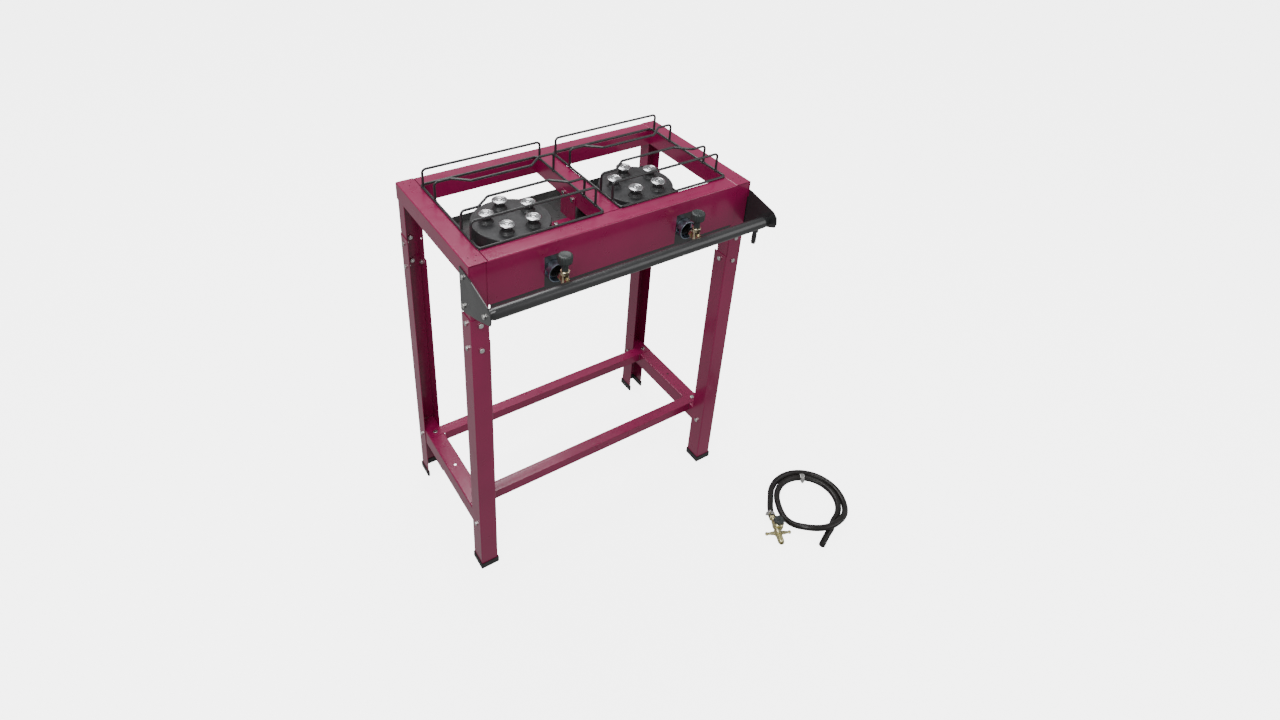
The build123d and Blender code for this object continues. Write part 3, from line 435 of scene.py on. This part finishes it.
# ---- burners ----
PORTS = 5
PORT_CIRCLE_R = 57.0
BURNER_X = {"left": -175.0, "right": 175.0}
PORT_TOP_Z = 902.0
CAP_PROFILE = [(10.5, 0.05), (10.9, 2.0), (13.2, 3.8), (17.4, 5.4), (18.6, 6.1), (19.0, 6.9),
               (18.9, 7.6), (18.3, 8.4), (17.2, 9.1), (15.6, 9.6), (14.4, 9.7), (13.7, 9.2), (12.9, 9.0),
               (12.2, 9.3), (11.4, 9.7), (8.0, 9.9), (6.6, 9.75), (5.9, 9.3), (5.2, 9.2), (4.4, 9.5),
               (3.0, 9.85), (0.6, 9.95)]
CAP_STUDS = 9
STUD_Z = PORT_TOP_Z + 9.6
STUD_CIRCLE_R = 10.0
STUD_PROFILE = [(1.5, 0), (1.3, 0.35), (0.6, 0.4)]
LID_TOP_Z = 887.6
NECK_FOOT_PROFILE = [(18.2, 0), (17.2, 1.2), (15.6, 3.2), (13.0, 4.6), (11.9, 6.4), (11.7, 8.0)]
NECK_RING_Z = 899.4
NECK_RING_PROFILE = [(11.6, 0), (12.6, 0.5), (12.9, 1.4), (12.3, 2.3), (11.4, 2.5)]
FLAME_SLOT_Z = 897.0
FLAME_SLOT_R = 11.6
FLAME_SLOTS = 10
FLAME_SLOT_HALF = (0.6, 1.1, 1.9)


def port_spots(side):
    """Centres of one burner's ports in the stand's layout."""
    spots = []
    for i in range(PORTS):
        a = math.radians(90 + i * 360 / PORTS)
        spots.append((BURNER_X[side] + PORT_CIRCLE_R * math.cos(a), PORT_CIRCLE_R * math.sin(a)))
    return spots


def burner_caps(side):
    """Polished mushroom caps with a turned groove and a ring of generic studs."""
    bm = bmesh.new()
    for x, y in port_spots(side):
        base = mm(x, y, PORT_TOP_Z)
        lathe(bm, base, (0, 0, 1), CAP_PROFILE, segments=64)
        phase = random.random()
        for k in range(CAP_STUDS):
            a = 2 * math.pi * (k + phase) / CAP_STUDS
            spot = mm(x + STUD_CIRCLE_R * math.cos(a), y + STUD_CIRCLE_R * math.sin(a), STUD_Z)
            lathe(bm, spot, (0, 0, 1), STUD_PROFILE, segments=10)
    finish_mesh("burner_caps_%s_look" % side, bm, BRIGHT, "stand", "bright_caps", "burner_caps_" + side)


def port_details(side):
    """Rings, flame slots and foot fillets of the ports, on the lid."""
    bm = bmesh.new()
    for x, y in port_spots(side):
        lathe(bm, mm(x, y, LID_TOP_Z), (0, 0, 1), NECK_FOOT_PROFILE)
        lathe(bm, mm(x, y, NECK_RING_Z), (0, 0, 1), NECK_RING_PROFILE)
        for k in range(FLAME_SLOTS):
            a = 2 * math.pi * k / FLAME_SLOTS
            turn = Matrix.Rotation(a, 3, "Z")
            center = mm(x + FLAME_SLOT_R * math.cos(a), y + FLAME_SLOT_R * math.sin(a), FLAME_SLOT_Z)
            block(bm, center, FLAME_SLOT_HALF, turn, 0.25)
    finish_mesh("port_details_%s" % side, bm, IRON, "stand", "burner_iron")


for side in ("left", "right"):
    burner_caps(side)
    port_details(side)


# ---- valves ----
VALVE_Y = -243.0
MIXER_Z = 869.0
KNOB_Z = 913.0
KNOB_NECK_PROFILE = [(7.4, -19.9), (7.5, -2.0), (8.6, -0.4), (14.2, 0.0), (15.4, 0.9)]
KNOB_PROFILE = [(14.2, 0.0), (15.4, 0.9), (16.0, 2.6), (16.7, 14.6), (16.4, 17.0), (15.6, 18.6), (14.2, 19.5),
                (12.6, 19.7), (11.8, 19.2), (2.0, 19.0)]
POINTER_Z = 932.5
POINTER_Y = VALVE_Y - 9.2
POINTER_HALF = (1.0, 4.6, 0.9)
KNOB_FLUTES = 16
VALVE_BASE_Z = 856.0
VALVE_PROFILE = [(5.5, 0.1), (7.4, 1.2), (8.9, 3.0), (9.0, 26.0), (8.2, 27.4), (8.2, 30.0)]
BONNET_NUT_Z = 882.5
BONNET_NUT = (17.4, 6.2)        # across flats, length
BONNET_Z = 888.6
BONNET_PROFILE = [(9.9, 0), (10.4, 0.7), (10.5, 3.4), (9.6, 4.3)]
INLET_Z = MIXER_Z - 1.0
INLET_NUT_Y = VALVE_Y - 14.4
INLET_NUT = (15.6, 5.8)
INLET_Y = VALVE_Y - 17.0
INLET_THREADS = 5
INLET_PITCH = 1.3
OUTLET_NUT_Y = VALVE_Y + 8.6
OUTLET_NUT = (16.6, 8.2)
COLLAR_Y = -189.7
COLLAR_PROFILE = [(15.5, 0.0), (25.0, 0.0), (25.4, 0.3), (25.4, 0.9), (25.0, 1.2), (15.5, 1.2)]


def valve_knob(side):
    """Black knob with sixteen soft flutes and a raised pointer."""
    bm = bmesh.new()
    x = BURNER_X[side]
    lathe(bm, mm(x, VALVE_Y, KNOB_Z), (0, 0, 1), KNOB_PROFILE, segments=96, lobes=KNOB_FLUTES, lobe_depth=1.1)
    lathe(bm, mm(x, VALVE_Y, KNOB_Z), (0, 0, 1), KNOB_NECK_PROFILE, segments=48)
    block(bm, mm(x, POINTER_Y, POINTER_Z), POINTER_HALF, None, 0.4)
    node = "valve_knob_" + side
    finish_mesh(node + "_look", bm, KNOB_BLACK, "knob_" + side, "black_plastic", node)


def valve_body(side):
    """Brass valve: bonnet, collar, threaded inlet and hexagon outlet."""
    bm = bmesh.new()
    x = BURNER_X[side]
    lathe(bm, mm(x, VALVE_Y, VALVE_BASE_Z), (0, 0, 1), VALVE_PROFILE)
    nut(bm, mm(x, VALVE_Y, BONNET_NUT_Z), (0, 0, 1), *BONNET_NUT)
    lathe(bm, mm(x, VALVE_Y, BONNET_Z), (0, 0, 1), BONNET_PROFILE)
    nut(bm, mm(x, INLET_NUT_Y, INLET_Z), (0, 1, 0), *INLET_NUT)
    ridges = [(5.2, 0.0)]
    for k in range(INLET_THREADS):
        ridges += [(6.0, 0.6 + INLET_PITCH * k), (5.3, 1.2 + INLET_PITCH * k)]
    lathe(bm, mm(x, INLET_Y, INLET_Z), (0, 1, 0), ridges + [(5.2, 17.0)])
    nut(bm, mm(x, OUTLET_NUT_Y, MIXER_Z), (0, 1, 0), *OUTLET_NUT)
    finish_mesh("valve_body_%s_look" % side, bm, BRASS, "stand", "brass", "valve_body_" + side)


def tube_collar(side):
    """Thin black collar on the mixing tube, close behind the air shutter."""
    bm = bmesh.new()
    lathe(bm, mm(BURNER_X[side], COLLAR_Y, MIXER_Z), (0, 1, 0), COLLAR_PROFILE, segments=64)
    finish_mesh("tube_collar_%s" % side, bm, BLACK, "stand", "black_paint")


for side in ("left", "right"):
    valve_knob(side)
    valve_body(side)
    tube_collar(side)


# ---- grates ----
GRATE_HALF = 153.0
FOOT_Y = (-118.0, -70.0, 70.0, 139.0)
RING_Z = 943.05
BEAD_INSET = 0.7
BEAD_HALF = (3.9, 5.2, 4.0)


def grate_welds(side):
    """Weld beads where the arches stand on the ring."""
    bm = bmesh.new()
    for y in FOOT_Y:
        for end in (-1, 1):
            center = mm(BURNER_X[side] + end * (GRATE_HALF - BEAD_INSET), y, RING_Z)
            made = bmesh.ops.create_icosphere(bm, subdivisions=3, radius=1.0)
            for v in made["verts"]:
                wobble = 1.0 + 0.10 * math.sin(9.0 * v.co.x + 3.0 * y) * math.cos(7.0 * v.co.y)
                bead = Vector(half * c for half, c in zip(BEAD_HALF, v.co))
                v.co = center + bead * MM * wobble
    finish_mesh("grate_welds_%s" % side, bm, WIRE_BLACK, "grate_%s_body" % side, "black_wire")


for side in ("left", "right"):
    dress_node("grate_" + side, WIRE_BLACK)
    grate_welds(side)


# ---- hose kit metalwork ----
BARB_ALONG = -18.0              # places along the regulator, from the end of the hose
BARB_NUT_ALONG = 1.4
BARB_NUT = (17.0, 6.6)
NECK_ALONG = 8.0
CHAMBER_BASE_Z = 2.1
CHAMBER_SCREWS = 6
CHAMBER_SCREW_Z = 15.6
CHAMBER_SCREW_R = 14.4
KIT_KNOB_Z = 26.0
KIT_KNOB_LOBES = 8
HUB_ALONG = 46.2
WING_ALONG = 53.0
WING_ROOT = 8.8
WING_REACH = 31.0
EYE_REACH = 31.7
THREAD_ALONG = 60.0
WING_SECTIONS = 14
WING_SIDES = 16
THREAD_TURNS = 9
THREAD_PITCH = 2.2
BAND_R = 9.85
BAND_HALF = 5.8
BAND_SLOTS = 26
BAND_SLOT_R = 9.75
BAND_SLOT_HALF = (0.45, 3.6, 0.18)
HOUSING_R = 12.6
HOUSING_HALF = (7.3, 5.0, 3.4)
SCREW_OUT = 0.4                 # from the middle of the housing
SCREW_START = 10.2
SCREW_HEAD_START = 6.0
CLAMP_ALONG = 6.2               # from the end of the hose
SPARE_CLAMP_Z = 10.0
SCREW_SIDE = 0.75               # no band slots where the screw housing sits


def reg_axis():
    """Unit vector along the regulator, away from the hose."""
    a = REG_ANGLE + KIT_TURN
    return Vector((math.cos(a), math.sin(a), 0.0))


def reg_point(along, across=0.0, z=REG_AXIS_Z):
    """Point on the regulator in the frame, by millimetres along and across it."""
    u = HOSE_IN[0][0] + math.cos(REG_ANGLE) * along - math.sin(REG_ANGLE) * across
    v = HOSE_IN[0][1] + math.sin(REG_ANGLE) * along + math.cos(REG_ANGLE) * across
    return kit(u, v, z)


def worm_clamp(name, node, center, axis, screw_side):
    """Worm-drive hose clamp: slotted band, screw housing and screw."""
    bm = bmesh.new()
    axis = axis.normalized()
    side = (screw_side - axis * screw_side.dot(axis)).normalized()
    across = axis.cross(side)
    start = center - axis * BAND_HALF * MM
    outer = BAND_R
    profile = [(9.0, 0.0), (outer - 0.15, 0.1), (outer, 0.5), (outer - 0.2, 1.2), (outer - 0.2, 10.4),
               (outer, 11.1), (outer - 0.15, 11.5), (9.0, 11.6)]
    lathe(bm, start, axis, profile, segments=64)
    turn = Matrix((across, axis, side)).transposed()
    for k in range(BAND_SLOTS):
        a = 2 * math.pi * k / BAND_SLOTS
        out = math.cos(a) * across + math.sin(a) * side
        if out.dot(side) > SCREW_SIDE:
            continue
        tangent = axis.cross(out)
        slot_turn = Matrix((tangent, axis, out)).transposed()
        block(bm, center + out * BAND_SLOT_R * MM, BAND_SLOT_HALF, slot_turn, 0.1)
    middle = center + side * HOUSING_R * MM
    block(bm, middle, HOUSING_HALF, turn, 1.2)
    screw = middle + side * SCREW_OUT * MM
    lathe(bm, screw - across * SCREW_START * MM, across, [(2.4, 0), (2.8, 0.5), (2.8, 16.0), (3.1, 16.2)])
    lathe(bm, screw + across * SCREW_HEAD_START * MM, across, [(3.4, 0), (3.4, 3.2), (2.7, 4.1), (0.4, 4.2)])
    finish_mesh(name, bm, ZINC, "hose_kit", "zinc_bolts", node)


def regulator():
    """Cast regulator with barb, hexagon, ribbed chamber and outlet neck."""
    bm = bmesh.new()
    d = reg_axis()
    lathe(bm, reg_point(BARB_ALONG), d, [(4.6, 0), (5.5, 3), (5.5, 19.0)])
    nut(bm, reg_point(BARB_NUT_ALONG), d, *BARB_NUT)
    neck = [(8.2, 0), (7.2, 1.2), (6.8, 5.0), (7.6, 9.0), (8.0, 14.0), (8.0, 24.0), (7.0, 30.0), (6.8, 33.0),
            (9.0, 35.0), (9.4, 36.0), (9.4, 38.0)]
    lathe(bm, reg_point(NECK_ALONG), d, neck)
    up = Vector((0, 0, 1))
    chamber = [(11.5, 0.0), (13.6, 0.8), (14.6, 2.4), (14.9, 5.0), (14.9, 12.0), (13.8, 13.4), (13.8, 15.0),
               (14.8, 16.2), (14.8, 20.4), (13.4, 22.0), (11.0, 23.7)]
    lathe(bm, reg_point(CHAMBER_ALONG, CHAMBER_ACROSS, CHAMBER_BASE_Z), up, chamber, segments=64)
    for k in range(CHAMBER_SCREWS):
        a = math.radians(60 * k + 20)
        along = CHAMBER_ALONG + CHAMBER_SCREW_R * math.cos(a)
        across = CHAMBER_ACROSS + CHAMBER_SCREW_R * math.sin(a)
        spot = reg_point(along, across, CHAMBER_SCREW_Z)
        lathe(bm, spot, up, [(1.7, 0), (1.7, 4.4), (1.2, 5.0), (0.3, 5.1)], segments=12)
    finish_mesh("kit_regulator_look", bm, KIT_BRASS, "hose_kit", "kit_brass", "kit_regulator")


def regulator_knob():
    """Eight-lobed black hand knob."""
    bm = bmesh.new()
    base = reg_point(CHAMBER_ALONG, CHAMBER_ACROSS, KIT_KNOB_Z)
    profile = [(9.5, 0.05), (13.6, 0.4), (14.7, 1.6), (14.9, 4.0), (14.8, 7.0), (14.0, 9.0), (12.2, 10.0),
               (9.8, 10.05), (9.0, 9.5), (1.0, 9.3)]
    lathe(bm, base, (0, 0, 1), profile, segments=96, lobes=KIT_KNOB_LOBES, lobe_depth=2.0)
    finish_mesh("kit_knob_look", bm, KNOB_BLACK, "regulator_knob", "black_plastic", "kit_knob")


def wing_nut():
    """Butterfly nut: hub, threaded nozzle and two flat wings with eyes."""
    bm = bmesh.new()
    d = reg_axis()
    hub = [(6.2, 0.1), (9.4, 0.3), (10.4, 1.4), (10.4, 12.6), (9.4, 13.8), (8.2, 14.2)]
    lathe(bm, reg_point(HUB_ALONG), d, hub, segments=64)
    thread = [(8.0, 0.0)]
    for k in range(THREAD_TURNS):
        thread += [(8.7, 3.0 + THREAD_PITCH * k), (7.7, 4.1 + THREAD_PITCH * k)]
    thread += [(7.2, 23.4), (6.6, 24.2), (6.6, 25.6), (3.4, 25.8), (3.2, 20.0)]
    lathe(bm, reg_point(THREAD_ALONG), d, thread, segments=64)
    across_dir = Vector((-d.y, d.x, 0.0))
    for side in (-1, 1):
        out = across_dir * side
        rings = []
        for k in range(WING_SECTIONS + 1):
            t = k / WING_SECTIONS
            along = WING_ROOT + (WING_REACH - WING_ROOT) * t
            half_w = 5.8 - 2.4 * smooth(t)
            half_t = 2.6 - 0.8 * t
            ring = []
            for j in range(WING_SIDES):
                a = 2 * math.pi * j / WING_SIDES
                cx = math.copysign(abs(math.cos(a)) ** 0.5, math.cos(a)) * half_w
                cz = math.copysign(abs(math.sin(a)) ** 0.5, math.sin(a)) * half_t
                offset = out * along + d * cx + Vector((0, 0, cz))
                ring.append(bm.verts.new(reg_point(WING_ALONG) + offset * MM))
            rings.append(ring)
        for low, high in zip(rings, rings[1:]):
            for j in range(WING_SIDES):
                i = (j + 1) % WING_SIDES
                bm.faces.new((low[j], low[i], high[i], high[j]))
        bm.faces.new(rings[0])
        bm.faces.new(list(reversed(rings[-1])))
        eye = reg_point(WING_ALONG) + out * EYE_REACH * MM + Vector((0, 0, -2.6 * MM))
        lathe(bm, eye, (0, 0, 1), [(3.9, 0), (4.7, 0.7), (4.8, 2.6), (4.7, 4.5), (3.9, 5.2), (2.4, 5.2),
                                   (1.9, 4.2), (0.3, 4.0)])
    finish_mesh("kit_wing_nozzle_look", bm, KIT_BRASS, "wing_nut", "kit_brass", "kit_wing_nozzle")


hose_start = kit(*HOSE_IN[0])
hose_dir = (kit(*HOSE_IN[1]) - hose_start).normalized()
near_side = kit(-1.0, 0.0, 0.9) - kit(0.0, 0.0, 0.0)
clamp_center = hose_start + hose_dir * CLAMP_ALONG * MM
worm_clamp("kit_clamp_look", "kit_clamp", clamp_center, hose_dir, near_side)
spare_axis = kit(1.0, 0.0, 0.0) - kit(0.0, 0.0, 0.0)
spare_side = kit(0.0, -1.0, 0.25) - kit(0.0, 0.0, 0.0)
spare_center = kit(0.0, COIL_INNER_R, SPARE_CLAMP_Z)
worm_clamp("kit_spare_clamp_look", "kit_spare_clamp", spare_center, spare_axis, spare_side)
regulator()
regulator_knob()
wing_nut()


# ---- floor and light ----
FLOOR_GLOW = 4.5
SURROUND = 0.38


def stage():
    """Pale floor and white surround."""
    bm = bmesh.new()
    bmesh.ops.create_grid(bm, x_segments=1, y_segments=1, size=FLOOR_SIZE / 2)
    mesh = bpy.data.meshes.new("floor")
    bm.to_mesh(mesh)
    bm.free()
    floor = bpy.data.objects.new("floor", mesh)
    bpy.context.scene.collection.objects.link(floor)
    pale = Shader("floor_pale", (0.90, 0.90, 0.90), 0.7)
    pale.color(pale.noise(0.8, 2.0), (0.89, 0.89, 0.89), (0.92, 0.92, 0.92))
    pale.set("Emission Color", (1.0, 1.0, 1.0, 1.0)).set("Emission Strength", FLOOR_GLOW)
    mesh.materials.append(pale.material)
    floor.visible_diffuse = False
    floor.visible_glossy = False
    world = bpy.data.worlds.new("world")
    world.use_nodes = True
    world.node_tree.nodes["Background"].inputs["Color"].default_value = (1.0, 1.0, 1.0, 1.0)
    world.node_tree.nodes["Background"].inputs["Strength"].default_value = SURROUND
    bpy.context.scene.world = world


def lamp(name, place, target, size, power):
    """Square soft lamp aimed at a point."""
    data = bpy.data.lights.new(name, "AREA")
    data.shape = "SQUARE"
    data.size = size
    data.energy = power
    obj = bpy.data.objects.new(name, data)
    obj.location = place
    obj.rotation_euler = (Vector(target) - Vector(place)).to_track_quat("-Z", "Y").to_euler()
    bpy.context.scene.collection.objects.link(obj)


stage()
lamp("key", (-1.6, -1.2, 3.2), (0, 0, 0.7), 1.6, 56.0)
lamp("fill", (2.2, -2.4, 2.2), (0, 0, 0.6), 2.2, 26.0)
lamp("top", (0.2, 1.4, 3.4), (0, 0, 0.8), 1.8, 62.0)

bpy.context.view_layer.update()
